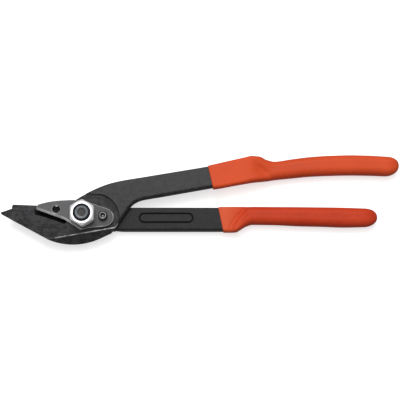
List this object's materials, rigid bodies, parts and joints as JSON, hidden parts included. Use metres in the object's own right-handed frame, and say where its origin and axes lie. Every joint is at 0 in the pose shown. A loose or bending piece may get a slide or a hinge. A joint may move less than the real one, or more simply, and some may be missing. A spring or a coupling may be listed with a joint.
{
  "type": "steel strap cutter",
  "caption": "Two-lever steel strap cutter with forged shearing jaws, a bolted hold-down plate over the strap slot, one bolt pivot and dipped vinyl grips.",
  "frame": {"origin": "on the pivot axis, at the outer face of the bolt head, which is the plane the tool lies on", "axes": "+X from the pivot towards the handles, +Y across the tool towards the upper handle, +Z along the pivot bolt towards the nut"},
  "size_m": [0.3076, 0.0703, 0.0307],
  "materials": {
    "forging": "satin black finish on forged steel",
    "vinyl": "dipped orange-red vinyl, satin",
    "plate_steel": "grey heat-treated steel, ground bevel",
    "bolt_steel": "plain machined steel",
    "zinc": "bright zinc plating",
    "black_screw": "black oxide"
  },
  "bodies": {
    "upper_half": {"upper_lever": "forging", "upper_grip": "vinyl", "hold_down_plate": "plate_steel", "pivot_bolt": "bolt_steel", "pivot_nut": "zinc", "pivot_washer": "bolt_steel", "pivot_bushing": "bolt_steel", "plate_screw": "black_screw"},
    "lower_half": {"lower_lever": "forging", "lower_grip": "vinyl"}
  },
  "joints": [
    {"name": "pivot", "type": "hinge", "parent": "upper_half", "child": "lower_half", "pos_m": [0, 0, 0.0083], "axis": [0, 0, -1], "range_deg": [0, 32]}
  ]
}
